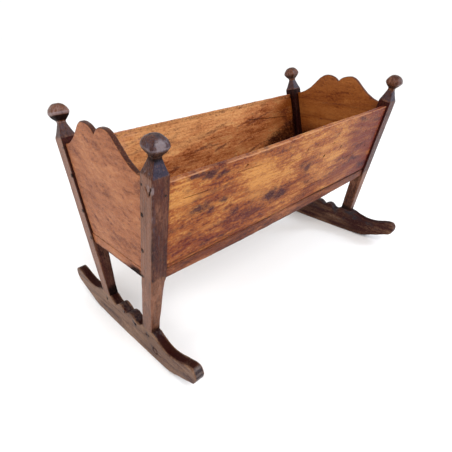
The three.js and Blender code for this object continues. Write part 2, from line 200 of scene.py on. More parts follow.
def resample(loop):
    """Points along a closed outline, with its real corners kept and its curves smoothed."""
    corners = [i for i, a in enumerate(corner_angles(loop)) if abs(a) > CORNER_ANGLE] or [0]
    out = []
    for i, start in enumerate(corners):
        end = corners[(i + 1) % len(corners)]
        count = (end - start) % len(loop) or len(loop)
        run = np.array([loop[(start + j) % len(loop)] for j in range(count + 1)])
        length = np.concatenate([[0], np.cumsum(np.linalg.norm(np.diff(run, axis=0), axis=1))])
        n = max(2, int(round(length[-1] / RIM_STEP)))
        at = np.linspace(0, length[-1], n + 1)
        fine = np.stack([np.interp(at, length, run[:, k]) for k in range(2)], axis=1)
        for _ in range(3):
            fine[1:-1] = 0.25 * fine[:-2] + 0.5 * fine[1:-1] + 0.25 * fine[2:]
        out.extend(fine[:-1])
    return np.array(out)


def inward(loop):
    """Unit normals of a counter-clockwise outline, pointing in."""
    tangent = np.roll(loop, -1, axis=0) - np.roll(loop, 1, axis=0)
    tangent /= np.linalg.norm(tangent, axis=1)[:, None]
    return np.stack([-tangent[:, 1], tangent[:, 0]], axis=1)


def inside(loop, points):
    x, y = points.T
    hit = np.zeros(len(points), bool)
    for (x0, y0), (x1, y1) in zip(loop, np.roll(loop, -1, axis=0)):
        crosses = (y0 > y) != (y1 > y)
        with np.errstate(divide="ignore", invalid="ignore"):
            at = (x1 - x0) * (y - y0) / (y1 - y0) + x0
        hit ^= crosses & (x < at)
    return hit


def nearest(points, loop):
    """Distance from each point to the nearest point of an outline."""
    chunk = 2000
    out = [np.sqrt(((points[i:i + chunk, None] - loop[None]) ** 2).sum(axis=2).min(axis=1))
           for i in range(0, len(points), chunk)]
    return np.concatenate(out)


def line_distance(places, line):
    """Distance from places on a face to a line, given as x0, y0, x1, y1."""
    start, run = np.array(line[:2]), np.array(line[2:]) - np.array(line[:2])
    t = np.clip((places - start) @ run / (run @ run), 0, 1)
    return np.linalg.norm(places - start - t[:, None] * run, axis=1)


def along_dents(points, dents):
    """How deep in a dent each point lies, 0 to 1, and the depth it is pushed in."""
    share, depth = np.zeros(len(points)), np.zeros(len(points))
    for *line, half, deep in dents:
        here = 1 - smooth(0.45 * half, 1.15 * half, line_distance(points[:, :2], line))
        share, depth = np.maximum(share, here), np.maximum(depth, here * deep)
    return share, depth


def dent_points(dents):
    """Extra face points that give a dent its own shape."""
    out = []
    for x0, y0, x1, y1, half, _ in dents:
        start, end = np.array([x0, y0]), np.array([x1, y1])
        length = np.linalg.norm(end - start)
        along = (end - start) / length
        across = np.array([-along[1], along[0]])
        count = max(2, int(length / 0.004))
        for t in np.linspace(-half, length + half, count + 2):
            for k in (-1.9, -1.15, -0.6, 0.0, 0.6, 1.15, 1.9):
                out.append(start + along * t + across * k * half)
    return np.array(out).reshape(-1, 2)


def edge_rings(rim, into, radii, half):
    """Rings from the back face round to the front face, and each ring's nearness to an edge."""
    rings, edge = [], []

    def corner(radius, face, steps):
        for k in steps:
            turn = math.pi / 2 * k / ROUND_STEPS
            inset = radius * (1 - math.cos(turn))
            rings.append(np.c_[rim + into * inset[:, None], face * (half - radius * (1 - math.sin(turn)))])
            edge.append(math.cos(turn))

    corner(radii[0], -1, range(ROUND_STEPS, -1, -1))
    middle_rings = max(1, int(2 * half / MIDDLE_RING_STEP))
    for k in range(1, middle_rings):
        share = k / middle_rings
        z = (-half + radii[0]) * (1 - share) + (half - radii[1]) * share
        rings.append(np.c_[rim, z])
        edge.append(0.75)
    corner(radii[1], 1, range(ROUND_STEPS + 1))
    return rings, edge


def face_points(border, grid, extra):
    """Staggered points inside a face's border, clear of it and of its dents' points."""
    low, high = border.min(axis=0), border.max(axis=0)
    gx, gy = np.meshgrid(np.arange(low[0], high[0], grid), np.arange(low[1], high[1], grid))
    gx[1::2] += grid / 2
    inner = np.stack([gx.ravel(), gy.ravel()], axis=1)
    if len(extra):
        inner = inner[nearest(inner, extra) > 0.45 * grid]
        inner = np.concatenate([inner, extra])
    inner = inner[inside(border, inner)]
    return inner[nearest(inner, border) > 0.55 * min(grid, RIM_STEP * 1.5)]


def plate(loop, thick, radius, grid=FACE_GRID, nick=0.0006, seed=1, wave=0.0004, dents=(), dent_face=1):
    """A plank of any outline with worn, rounded edges. Local z runs from -thick/2 to thick/2.

    radius is the edge rounding, one number or a function of the outline's points. A dent is
    (x0, y0, x1, y1, half width, depth) on one face. Returns points, faces, each point's nearness to an edge
    and its share in a dent.
    """
    rim = resample(loop)
    into = inward(rim)
    flat = on_face(rim)
    bitten = nick * wobble(flat, 0.021, seed) + 0.6 * nick * wobble(flat, 0.007, seed + 3)
    rim = rim + into * bitten[:, None]
    rounding = radius(rim) if callable(radius) else radius
    radii = [np.minimum(rounding * (1 + 0.35 * wobble(flat + [0, 0, z], 0.03, seed + 5)), thick * 0.48)
             for z in (0.0, 0.1)]
    half = thick / 2
    rings, edge = edge_rings(rim, into, radii, half)
    n = len(rim)
    points = list(np.concatenate(rings))
    near = list(np.repeat(edge, n))
    faces = side_faces(len(rings), n)
    border_edges = [(i, (i + 1) % n) for i in range(n)]
    for ring_at, z in ((0, -half), (len(rings) - 1, half)):
        border = rings[ring_at][:, :2]
        extra = dent_points(dents) if z * dent_face > 0 else ()
        inner = face_points(border, grid, extra)
        coords = [Vector(p) for p in np.concatenate([border, inner])]
        placed, _, triangles, sources = geometry.delaunay_2d_cdt(
            coords, border_edges, [list(range(n))], 1, 1e-7)[:4]
        index = {}
        for new, source in enumerate(sources):
            if source and source[0] < n:
                index[new] = ring_at * n + source[0]
            else:
                index[new] = len(points)
                points.append(np.array([*placed[new], z]))
                near.append(0.0)
        for triangle in triangles:
            ids = tuple(index[v] for v in triangle)
            faces.append(ids[::-1] if z < 0 else ids)
    points = np.array(points)
    level = points * [1, 1, 0.3]
    lift = wobble(level, (0.16, 0.07, 0.05), seed + 11) + 0.5 * wobble(level, (0.05, 0.03, 0.05), seed + 12)
    points[:, 2] += wave * lift * np.sign(points[:, 2])
    dent, depth = along_dents(points, dents)
    faced = points[:, 2] * dent_face > half * 0.5
    points[:, 2] -= dent_face * depth * faced
    return points, faces, np.array(near), dent * faced


def patches(points, spots, seed):
    """Soft ragged patches from rows of x, y, half width, half height, strength."""
    flat = on_face(points)
    push = np.c_[wobble(flat, 0.03, seed + 1), wobble(flat, 0.03, seed + 2)] * 0.012
    push += np.c_[wobble(flat, 0.011, seed + 3), wobble(flat, 0.011, seed + 4)] * 0.005
    where = points[:, :2] + push
    total = np.zeros(len(points))
    for x, y, wide, high, strength in spots:
        d2 = ((where[:, 0] - x) / wide) ** 2 + ((where[:, 1] - y) / high) ** 2
        total = np.maximum(total, strength * np.exp(-d2 * 1.1))
    return total * (1 + 0.35 * wobble(flat, 0.016, seed + 5))


# ---- Wood ----
LIGHT = 1.36  # how much the studio light brightens a matt surface
FILM = 0.024  # what the wax film's own shine adds to a colour


def linear(r, g, b, film=FILM):
    """The wood's own linear colour, from its sRGB colour in the studio light under the wax film."""
    values = [c / 255 for c in (r, g, b)]
    values = [c / 12.92 if c <= 0.04045 else ((c + 0.055) / 1.055) ** 2.4 for c in values]
    return (*[max(c - film, 0.2 * c) / LIGHT for c in values], 1.0)


class Shader:
    """A material under construction, with one short call for each kind of node."""

    def __init__(self, name):
        self.material = bpy.data.materials.new(name)
        self.material.use_nodes = True
        self.tree = self.material.node_tree
        self.tree.nodes.clear()

    def add(self, kind, sockets=(), **settings):
        node = self.tree.nodes.new("ShaderNode" + kind)
        for key, value in settings.items():
            setattr(node, key, value)
        for key, value in dict(sockets).items():
            if isinstance(value, bpy.types.NodeSocket):
                self.tree.links.new(value, node.inputs[key])
            else:
                node.inputs[key].default_value = value
        return node

    def layer(self, name):
        node = self.add("Attribute", attribute_name=name)
        return node.outputs["Vector" if name == "grain" else "Fac"]

    def math(self, operation, a, b=0.0, c=0.0, clamp=False):
        node = self.add("Math", {0: a, 1: b, 2: c}, operation=operation, use_clamp=clamp)
        return node.outputs[0]

    def vector(self, operation, a, b=(0, 0, 0)):
        node = self.add("VectorMath", {0: a, 1: b}, operation=operation)
        return node.outputs["Value" if operation == "LENGTH" else "Vector"]

    def noise(self, where, along, across, detail, rough, shift):
        """Noise from 0 to 1; along and across are in lumps per metre of wood."""
        placed = self.vector("MULTIPLY", where, (along, across, across))
        placed = self.vector("ADD", placed, (shift * 5.3, shift * 3.1, shift * 7.7))
        inputs = {"Vector": placed, "Scale": 1.0, "Detail": detail, "Roughness": rough}
        return self.add("TexNoise", inputs).outputs

    def ramp(self, value, stops):
        node = self.add("ValToRGB", {0: value})
        band = node.color_ramp
        band.interpolation = "EASE"
        while len(band.elements) < len(stops):
            band.elements.new(0.5)
        for element, (at, colour) in zip(band.elements, stops):
            element.position = at
            element.color = colour
        return node.outputs[0]

    def step(self, value, low, high):
        node = self.add("MapRange", {"Value": value, "From Min": low, "From Max": high},
                        interpolation_type="SMOOTHSTEP")
        return node.outputs[0]

    def mix(self, share, a, b):
        return self.add("Mix", {0: share, 6: a, 7: b}, data_type="RGBA").outputs[2]

    def cover(self, colour, mask, share, paint):
        """Paint laid over a colour, up to a share of it where the mask is 1."""
        return self.mix(self.math("MULTIPLY", mask, share), colour, paint)

    def weighted(self, first, *others):
        """The sum of (value, weight) pairs."""
        total = self.math("MULTIPLY", *first)
        for value, weight in others:
            total = self.math("MULTIPLY_ADD", value, weight, total)
        return total


def wood(name, dark, middle, light, stain_and_sheen, worn, dusk, seed, dirt_and_shade=(40, 19, 14), light_film=FILM,
         pith=(0.0, -0.06), pitch=0.006, ring_depth=0.25, wear_amount=0.6, speck=0.6, roughness=0.42,
         shine=0.13, bump=0.7, contrast=1.0, gloss=0.05):
    """Old waxed softwood that reads the piece's grain, wear, grime, stain and tone layers.

    dark, middle and light are the grain's own colours. stain, worn, dusk and dirt are laid over them where
    the layers say so; dusk is where the tone is below 0, and light where it is above. Besides the marks of
    age,
    they paint light: dirt and dusk also paint shade, worn a highlight on two finial balls and stain a bluish
    reflection on the posts' facets.
    """
    light = linear(*light, film=light_film)
    dark, middle, stain_and_sheen, worn, dusk, dirt_and_shade = [linear(*c) for c in (dark, middle, stain_and_sheen, worn, dusk, dirt_and_shade)]
    s = Shader(f"wood_{name}")
    grain = s.layer("grain")

    # Growth rings round a pith line that wanders a little.
    bend = s.noise(grain, 3.0, 13.0, 2.0, 0.5, seed)["Color"]
    bend = s.vector("MULTIPLY", s.vector("SUBTRACT", bend, (0.5, 0.5, 0.5)), (0.0, 0.034, 0.034))
    bent = s.vector("ADD", grain, bend)
    radial = s.vector("ADD", s.vector("MULTIPLY", bent, (0.028, 1.0, 1.0)), (0.0, -pith[0], -pith[1]))
    rings = s.math("MULTIPLY", s.vector("LENGTH", radial), 2 * math.pi / pitch)
    late = s.math("POWER", s.math("MULTIPLY_ADD", s.math("SINE", rings), 0.5, 0.5), 2.2)

    # Noise from broad to fine, drawn out along the grain.
    blotch = s.noise(bent, 7.0, 13.0, 3.0, 0.6, seed + 1)["Fac"]
    streak = s.noise(bent, 14.0, 85.0, 4.0, 0.62, seed + 2)["Fac"]
    mottle = s.noise(grain, 95.0, 150.0, 6.0, 0.7, seed + 3)["Fac"]
    fleck = s.noise(bent, 130.0, 340.0, 3.0, 0.7, seed + 5)["Fac"]
    fibre = s.noise(bent, 34.0, 900.0, 2.0, 0.6, seed + 4)["Fac"]
    lines = s.noise(bent, 22.0, 420.0, 3.0, 0.65, seed + 6)["Fac"]
    ragged = s.math("ADD", s.weighted((mottle, 1.3), (streak, 0.7), (fleck, 0.7)), -1.35)

    # The grain's own colour.
    spread = 0.115 / contrast
    blend = s.weighted((blotch, 0.34), (streak, 0.3), (mottle, 0.36))
    colour = s.ramp(blend, [(0.5 - spread, dark), (0.5, middle), (0.5 + spread, light)])
    colour = s.cover(colour, s.math("MULTIPLY", late, s.step(streak, 0.3, 0.7)), ring_depth, dark)
    colour = s.cover(colour, s.step(fibre, 0.5, 0.72), 0.25, dark)
    tone = s.math("MULTIPLY", s.layer("tone"), s.math("MULTIPLY_ADD", mottle, 1.3, 0.35))
    for sign, paint in ((1.0, light), (-1.0, dusk)):
        colour = s.mix(s.math("MULTIPLY", tone, sign, clamp=True), colour, paint)

    # What has happened to it since: stains, wear, open pores, scratches, dirt and a few worm holes; the same
    # layers also carry painted shade, a painted highlight and a painted bluish reflection.
    stain_and_sheen_mask = s.step(s.math("ADD", s.layer("stain_and_sheen"), ragged), 0.15, 0.85)
    rubbed = s.step(s.math("ADD", s.layer("wear_and_highlight"), ragged), 0.25, 0.9)
    dirt_and_shade_mask = s.step(s.math("MULTIPLY_ADD", ragged, 0.8, s.layer("grime_and_shade")), 0.12, 0.85)
    flat = s.vector("MULTIPLY", grain, (1.0, 1.0, 0.05))
    cells = s.add("TexVoronoi", {"Vector": flat, "Scale": 62.0}).outputs
    chance = s.add("SeparateColor", {0: cells["Color"]}).outputs[0]
    hole = s.math("SUBTRACT", 1.0, s.step(cells["Distance"], 0.05, 0.1))
    holes = s.math("MULTIPLY", hole, s.math("GREATER_THAN", chance, 0.74))
    for mask, share, paint in (
            (stain_and_sheen_mask, 0.9, stain_and_sheen), (rubbed, wear_amount, worn),
            (s.step(fleck, 0.57, 0.68), 0.6 * speck, dark), (s.step(fleck, 0.42, 0.32), 0.42 * speck, light),
            (s.step(lines, 0.6, 0.7), 0.55 * speck, stain_and_sheen), (dirt_and_shade_mask, 0.94, dirt_and_shade), (holes, speck, dirt_and_shade)):
        colour = s.cover(colour, mask, share, paint)

    rough = s.weighted((mottle, 0.3), (dirt_and_shade_mask, 0.22), (stain_and_sheen_mask, 0.08))
    rough = s.math("ADD", rough, roughness - 0.15, clamp=True)
    height = s.weighted((mottle, 0.9), (fibre, 0.35), (fleck, 0.6), (late, 0.25), (streak, 0.6),
                        (holes, -1.6))
    normal = s.add("Bump", {"Height": height, "Strength": bump, "Distance": 0.0016}).outputs[0]
    polish = s.math("MULTIPLY_ADD", stain_and_sheen_mask, gloss, shine)
    polish = s.math("MULTIPLY", polish, s.math("MULTIPLY_ADD", dirt_and_shade_mask, -0.75, 1.0))
    skin = s.add("BsdfPrincipled", {
        "Base Color": colour, "Roughness": rough, "Normal": normal, "Specular IOR Level": polish})
    s.add("OutputMaterial", {"Surface": skin.outputs[0]})
    return s.material


# The six colours of each wood: dark, middle, light, stain, worn, dusk; then what differs from the usual.
WOOD_LOOKS = {
    "front_board": (((100, 52, 36), (162, 94, 56), (210, 146, 84), (68, 34, 54), (208, 154, 118),
        (118, 57, 40)), dict(pith=(0.36, -0.07), pitch=0.007, contrast=1.4, speck=1.0, gloss=0.0)),
    # The back board's dirt colour is also the painted shade in its inner corner.
    "back_board": (((138, 76, 50), (210, 134, 87), (242, 176, 117), (104, 58, 42), (206, 142, 118),
        (140, 80, 50)), dict(dirt_and_shade=(60, 27, 14), pith=(0.42, -0.05), pitch=0.008, speck=1.1, contrast=1.5)),
    "panel_left": (((126, 72, 48), (171, 107, 73), (200, 136, 95), (104, 56, 40), (62, 38, 42),
        (136, 82, 58)), dict(pith=(0.4, -0.03), pitch=0.009, speck=1.1, wear_amount=0.9, contrast=1.25)),
    "panel_right": (((116, 62, 34), (160, 95, 56), (188, 120, 70), (92, 48, 34), (84, 54, 46),
        (100, 52, 38)), dict(pith=(0.5, -0.03), pitch=0.009, ring_depth=0.35, speck=0.5, wear_amount=0.85)),
    "rail": (((78, 42, 33), (118, 70, 52), (174, 110, 76), (68, 38, 34), (170, 124, 102), (110, 60, 44)),
        dict(speck=0.8, contrast=1.5)),
    # The posts' stain colour is also their painted bluish reflection, and their worn colour the painted
    # highlight on the front balls.
    "post": (((58, 36, 28), (98, 66, 53), (149, 106, 87), (44, 40, 66), (162, 146, 148), (80, 48, 37)),
        dict(light_film=0.036, dirt_and_shade=(38, 20, 20), pitch=0.005, ring_depth=0.35, speck=0.8, roughness=0.32,
        gloss=0.22, wear_amount=0.5, bump=0.6, contrast=1.35)),
    "rocker": (((72, 47, 38), (120, 89, 72), (154, 122, 101), (44, 38, 54), (152, 136, 130), (70, 46, 40)),
        dict(light_film=0.036, dirt_and_shade=(60, 27, 24), ring_depth=0.5, speck=1.1, roughness=0.44, shine=0.12,
        gloss=0.2, wear_amount=0.55, contrast=1.6)),
    "floor": (((120, 80, 50), (156, 112, 74), (184, 142, 98), (96, 62, 44), (190, 150, 110), (112, 76, 52)),
        dict(roughness=0.6, shine=0.1)),
    "peg": (((30, 19, 15), (44, 28, 22), (64, 42, 34), (26, 16, 12), (66, 46, 36), (30, 20, 16)),
        dict(pitch=0.002, roughness=0.5, shine=0.12))}
WOODS = {name: wood(name, *colours, seed=seed, **rest)
         for seed, (name, (colours, rest)) in enumerate(WOOD_LOOKS.items(), 1)}


# ---- Corner posts ----
SIDE_POINTS = 18
CORNER_POINTS = 5


def ring_outline(half_u, half_v, corner, circle):
    """A rounded rectangle, mixed with an ellipse by the share circle, round its own middle."""
    def on_corner(quarter, turn):
        sx, sy = [(1, 1), (-1, 1), (-1, -1), (1, -1)][quarter % 4]
        middle = np.array([sx * (half_u - corner), sy * (half_v - corner)])
        return middle + corner * np.array([math.cos(turn), math.sin(turn)])

    points = []
    for quarter in range(4):
        turn = quarter * math.pi / 2
        arc = [on_corner(quarter, turn + a) for a in np.linspace(0, math.pi / 2, CORNER_POINTS)]
        run = on_corner(quarter + 1, turn + math.pi / 2) - arc[-1]
        points.extend(arc + [arc[-1] + run * (k + 1) / (SIDE_POINTS + 1) for k in range(SIDE_POINTS)])
    points = np.array(points)
    angle = np.arctan2(points[:, 1] / half_v, points[:, 0] / half_u)
    ellipse = np.c_[half_u * np.cos(angle), half_v * np.sin(angle)]
    return points * (1 - circle) + ellipse * circle


# Leg: height, width along X, width across the leaning face.
LEG = np.array([
    (PAD_HEIGHT, 0.026, 0.0385), (0.1195, 0.0262, 0.0387), (0.1504, 0.0288, 0.039),
    (0.1824, 0.031, 0.0393), (0.2144, 0.0332, 0.0396), (0.244, 0.0358, 0.04), (0.252, 0.0392, 0.04),
    (0.257, 0.04, 0.04)])
# Finial: distance above the shoulder, half width across the flats, share of a circle, corner radius share.
FINIAL = np.array([
    (0.0, 0.0198, 0.0, 0.12), (0.002, 0.0194, 0.0, 0.14), (0.008, 0.0172, 0.02, 0.2),
    (0.016, 0.0146, 0.05, 0.24), (0.024, 0.0121, 0.08, 0.28), (0.03, 0.0102, 0.14, 0.34),
    (0.0345, 0.0095, 0.15, 0.4), (0.0362, 0.0102, 0.15, 0.42), (0.0376, 0.0101, 0.15, 0.45),
    (0.043, 0.0148, 0.18, 0.46), (0.049, 0.0196, 0.18, 0.46), (0.054, 0.022, 0.18, 0.42),
    (0.0566, 0.0228, 0.18, 0.4), (0.061, 0.0223, 0.2, 0.42), (0.067, 0.0204, 0.26, 0.46),
    (0.072, 0.0176, 0.34, 0.52), (0.0758, 0.014, 0.5, 0.6), (0.0786, 0.009, 0.75, 0.8),
    (0.0798, 0.003, 1.0, 1.0)])


# Each finial was whittled by hand: heights above the shoulder, drawn and as made, for the posts that differ.
NEAR_LEFT = (-1, -1)
DRAWN_HEIGHTS = (0, 0.0345, 0.0376, 0.0798)
MADE_HEIGHTS = {NEAR_LEFT: (0, 0.0362, 0.0395, 0.077), (1, -1): (0, 0.0358, 0.0395, 0.0796)}
NEAR_FULLER = 0.0016  # the near left finial's neck and undercut are fuller
LEG_CORNER, POST_CORNER = 0.002, 0.0018  # edge rounding below and above the step
CARVED_DEPTH, CARVED_SIZE = 0.0013, 0.0125  # the knife's hollows on a finial


def post_rings(end, side):
    """Rings up a post: up the slope, width along X, depth, corner radius, share of a circle, in the leg."""
    cos = math.cos(SPLAY)
    rings = []
    for height in np.concatenate([np.arange(PAD_HEIGHT, 0.24, 0.0035), np.arange(0.24, 0.262, 0.0012)]):
        wide, deep = [np.interp(height, LEG[:, 0], LEG[:, k]) for k in (1, 2)]
        rings.append((height / cos, wide, deep, LEG_CORNER, 0.0, True))
    for up in np.concatenate([np.arange(0.262 / cos + 0.003, 0.47, 0.0032),
                              np.arange(0.47, SHOULDER - 0.001, 0.0016)]):
        rings.append((up, POST, POST, POST_CORNER, 0.0, False))
    for above in np.concatenate([np.arange(0, 0.034, 0.0016), np.arange(0.034, 0.08, 0.0011)]):
        half, circle, corner = [np.interp(above, FINIAL[:, 0], FINIAL[:, k]) for k in (1, 2, 3)]
        made = np.interp(above, DRAWN_HEIGHTS, MADE_HEIGHTS.get((end, side), DRAWN_HEIGHTS))
        if (end, side) == NEAR_LEFT:
            half += NEAR_FULLER * near_line(above, 0.04, 0.007)
        rings.append((SHOULDER + made, 2 * half, 2 * half, corner * half, circle, False))
    return rings


def post_points(rings, seed):
    """Points of a post, as (up the slope, in from its end face, in from its leaning face)."""
    points = []
    for up, wide, deep, corner, circle, in_leg in rings:
        in_finial = up > SHOULDER - 1e-6
        nibble = 1 + 0.45 * noise.noise(Vector((up / 0.028, seed * 5.1, 0)))
        flat = ring_outline(wide / 2, deep / 2, corner if in_finial else corner * nibble, circle)
        flat += POST / 2 if in_finial else np.array([wide / 2, deep / 2])
        tilt = -flat[:, 1] * math.tan(SPLAY) if in_leg else np.zeros(len(flat))
        points.append(np.c_[up + tilt, flat])
    return np.concatenate(points)


def whittle(points, seed):
    """Hand-planed faces and the hollows of a knife on the finial; also each point's way out."""
    above = points[:, 0] - SHOULDER
    outward = points - [0, POST / 2, POST / 2]
    outward[:, 0] = 0
    outward /= np.maximum(np.linalg.norm(outward, axis=1), 1e-6)[:, None]
    plane = 0.00035 * wobble(points, (0.09, 0.02, 0.02), seed)
    plane += 0.00018 * wobble(points, (0.03, 0.012, 0.012), seed + 1)
    hollows = np.zeros(len(points))
    cells = (points[above > 0] - [SHOULDER, 0, 0]) / CARVED_SIZE + seed * 1.37
    hollows[above > 0] = [min(noise.voronoi(Vector(c))[0][0], 1) ** 2 - 0.35 for c in cells]
    hollows *= CARVED_DEPTH * (0.25 + 0.75 * smooth(0.036, 0.044, above))
    return points + outward * (plane + hollows)[:, None], outward


# The split corner near the shoulder of the near left post: lines (up, in) to (up, in) on its end face.
SPLIT = [(0.506, 0.004, 0.4866, 0.0115), (0.5, 0.0225, 0.488, 0.014)]
SPLIT_DEPTH = 0.0022
PEG_AT_TOP = 1  # the panel peg nearest the shoulder, whose head is rubbed pale


def split_corner(points):
    """How deep in the split each point lies, and which points are on its pale splinter."""
    up, u, v = points.T
    cracked = np.zeros(len(points))
    for line, depth in zip(SPLIT, (1.0, 0.55)):
        apart = line_distance(np.c_[up, v], line) * (1 + 0.5 * wobble(points, 0.006, 17))
        broken = depth * (1.0 + 0.4 * wobble(points, 0.004, 18))
        cracked = np.maximum(cracked, smooth(0.0026, 0.001, apart) * broken * (u < 0.004))
    splinter = (u < 0.004) * smooth(0.49, 0.498, up) * smooth(0.515, 0.506, up) * smooth(0.02, 0.014, v)
    return cracked, splinter


def peg_soil(points, place, corner_name, end):
    """Dirt in a ring round each peg head."""
    up, u, v = points.T
    soil = np.zeros(len(points))
    for kind, total, face, other in (("panel", 4, u, v), ("side", 2, v, u)):
        for k in range(1, total + 1):
            low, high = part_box(f"{kind}_peg_{corner_name}_{k}")
            spot = place.inverted() @ ((low + high) / 2)
            apart = np.hypot(up - spot.x, other - (spot.z if kind == "panel" else spot.y))
            ring = smooth(0.0078, 0.004, apart) * (face < 0.003)
            faint = kind == "side" or (end < 0 and k == PEG_AT_TOP)
            soil = np.maximum(soil, ring * (0.2 if faint else 0.75))
    return soil


# How a post has aged, with the light painted on it. crisp: rubbed ridges of the finial; under: painted shade
# below the ball; painted sheen: a bluish reflection painted on the facets on the leaning side, which darkens
# them; painted
# highlight: a pale spot painted on the ball; ball: its wear; neck: darkening of the neck and shoulder, in the
# same bluish colour; ball_tone, end_tone, front_tone: lighter or darker faces; inner: painted shade on the
# inner faces.
USUAL_AGE = dict(crisp=0.3, under=0.5, painted_sheen=0.3, painted_highlight=0.0, ball=0.17, neck=0.45, ball_tone=0.0, end_tone=0.65,
                 front_tone=0.5, inner=0.4)
POST_AGE = {
    NEAR_LEFT: dict(painted_sheen=0.75, painted_highlight=0.95, neck=0.2),
    (-1, 1): dict(crisp=1.0, under=0.95, painted_sheen=0.1, ball=0.4, neck=0.36, ball_tone=0.3, end_tone=0.85),
    (1, -1): dict(painted_highlight=0.4, ball=0.02, front_tone=0.75),
    (1, 1): dict(end_tone=0.85, front_tone=0.75, inner=0.62)}


def post_layers(points, outward, age, near_left, soil, splinter, seed):
    """Corners and ridges are rubbed; the neck and foot are soiled. The underside of the ball and the inner
    faces get painted shade, the facets on the leaning side a painted bluish reflection and the two front
    balls a painted highlight.
    """
    up, u, v = points.T
    above = up - SHOULDER
    post = above < 0
    leg = smooth(0.275, 0.262, up)
    foot = 1 - smooth(PAD_HEIGHT + 0.004, PAD_HEIGHT + 0.03, up)
    front = smooth(0.004, 0.0005, v) * post
    end_face = smooth(0.004, 0.0005, u) * post
    inner = np.maximum(smooth(POST - 0.004, POST - 0.0005, u), smooth(POST - 0.004, POST - 0.0005, v)) * post
    wide = np.where(post, np.interp(up * math.cos(SPLAY), LEG[:, 0], LEG[:, 1]), POST)
    edge_u = np.minimum(np.abs(u), np.abs(wide - u))
    edge_v = np.minimum(np.abs(v), np.abs(POST - v))
    corner = smooth(0.0045, 0.0008, np.maximum(edge_u, edge_v))

    facing = np.abs(outward[:, 2]) > np.abs(outward[:, 1])
    ball = smooth(0.036, 0.044, above)
    # Painted shade on the underside of the ball.
    under = smooth(0.0375, 0.04, above) * (1 - smooth(0.049, 0.055, above))
    neck = smooth(-0.004, 0.006, above) * (1 - smooth(0.03, 0.036, above))
    collar = near_line(above, 0.0345, 0.006) * near_left
    ridge = near_line(above, 0.0565, 0.0022) + 0.7 * near_line(above, 0.035, 0.0014)
    # Painted highlight: a soft pale spot painted on the ball's facet that faces the leaning side.
    painted_highlight = ball * facing * near_line(above, 0.0645, 0.0085) * near_line(u, 0.0165, 0.012)
    chips = smooth(0.1, 0.35, wobble(points, 0.0045, seed + 11)) * near_left
    # Painted sheen: a bluish reflection painted in the stain colour on the facets facing the leaning side,
    # darkening them.
    painted_sheen = age["painted_sheen"] * facing
    finial_wear_and_highlight = 1.15 * age["crisp"] * ridge + age["painted_highlight"] * painted_highlight + age["ball"] * ball + 0.45 * chips * neck
    near_ball = 0.25 * ball * (1 - facing) * near_left
    dark_streaks = smooth(0.35, 0.45, wobble(points, (0.05, 0.008, 0.008), seed + 9))
    # The inner faces are darkened with painted shade, inside the cradle and under it, through grime and tone.
    return {
        "wear_and_highlight": np.where(above > 0, finial_wear_and_highlight, corner * 0.3) + 0.6 * splinter,
        "grime_and_shade": (age["under"] * under + 0.25 * neck + 0.6 * collar + 0.7 * foot * (1 - end_face) + soil
            + 0.25 * end_face * smooth(0.12, 0.1, up) + age["inner"] * inner * (1 - leg)
            + 0.35 * inner * leg + 0.4 * ball * smooth(0.068, 0.076, above)),
        "tone": (age["end_tone"] * end_face * (1 - 0.3 * leg) - age["front_tone"] * front * (1 - leg)
            + 0.4 * front * leg - 0.9 * inner * (1 - leg) - 0.6 * inner * leg + age["ball_tone"] * ball
            + 0.4 * wobble(points, (0.08, 0.01, 0.01), seed + 7)),
        "stain_and_sheen": ((painted_sheen + age["neck"] + 0.1 * near_left) * neck + (0.5 * painted_sheen + 0.2) * ball * (1 - under)
            + near_ball + 0.3 * front * dark_streaks)}


def corner_of(end, side):
    return f"{'right' if end > 0 else 'left'}_{'back' if side > 0 else 'front'}"


def post_piece(end, side, seed):
    rings = post_rings(end, side)
    points, outward = whittle(post_points(rings, seed), seed)
    seat = Matrix(((0, -end, 0, end * HALF), (0, 0, -1, 0), (1, 0, 0, 0), (0, 0, 0, 1)))
    place = lean(side) @ seat
    corner = corner_of(end, side)
    soil = peg_soil(points, place, corner, end)
    near_left = (end, side) == NEAR_LEFT
    splinter = np.zeros(len(points))
    if near_left:
        cracked, splinter = split_corner(points)
        soil = np.maximum(soil, cracked)
        points[:, 1] += cracked * SPLIT_DEPTH
    age = {**USUAL_AGE, **POST_AGE[end, side]}
    layers = post_layers(points, outward, age, near_left, soil, splinter, seed)
    faces = loft_faces(len(rings), len(points) // len(rings))
    piece = make_piece(f"post_{corner}_wood", points, faces, layers, place, 50)
    finish_piece(piece, WOODS["post"], "post", f"post_{corner}")


# ---- Plank pieces ----
MM = 0.001


def spots(*rows):
    """Patch rows in millimetres, with their strengths as they are."""
    return [(x * MM, y * MM, w * MM, h * MM, strength) for x, y, w, h, strength in rows]


def grooves(*rows):
    """Dent rows in millimetres: both ends, half width, depth."""
    return [tuple(value * MM for value in row) for row in rows]


def plank(node, place, axis, radius, wood_name, slot, layers_of, sign=1, **options):
    """A plank with the outline of the CAD node's face furthest out along an axis of the frame place."""
    depth = local_points(node, place)[:, axis]
    low, high = depth.min(), depth.max()
    loop = face_loop(node, place, axis, sign)
    points, faces, near, dent = plate(loop, high - low, radius, **options)
    layers = layers_of(points, near, dent)
    points[:, 2] += (low + high) / 2
    order = [i for i in range(3) if i != axis] + [axis]
    swap = Matrix([[1.0 if order[col] == row else 0.0 for col in range(3)] for row in range(3)]).to_4x4()
    piece = make_piece(f"{node}_wood", points, faces, layers, place @ swap)
    finish_piece(piece, WOODS[wood_name], slot, node)


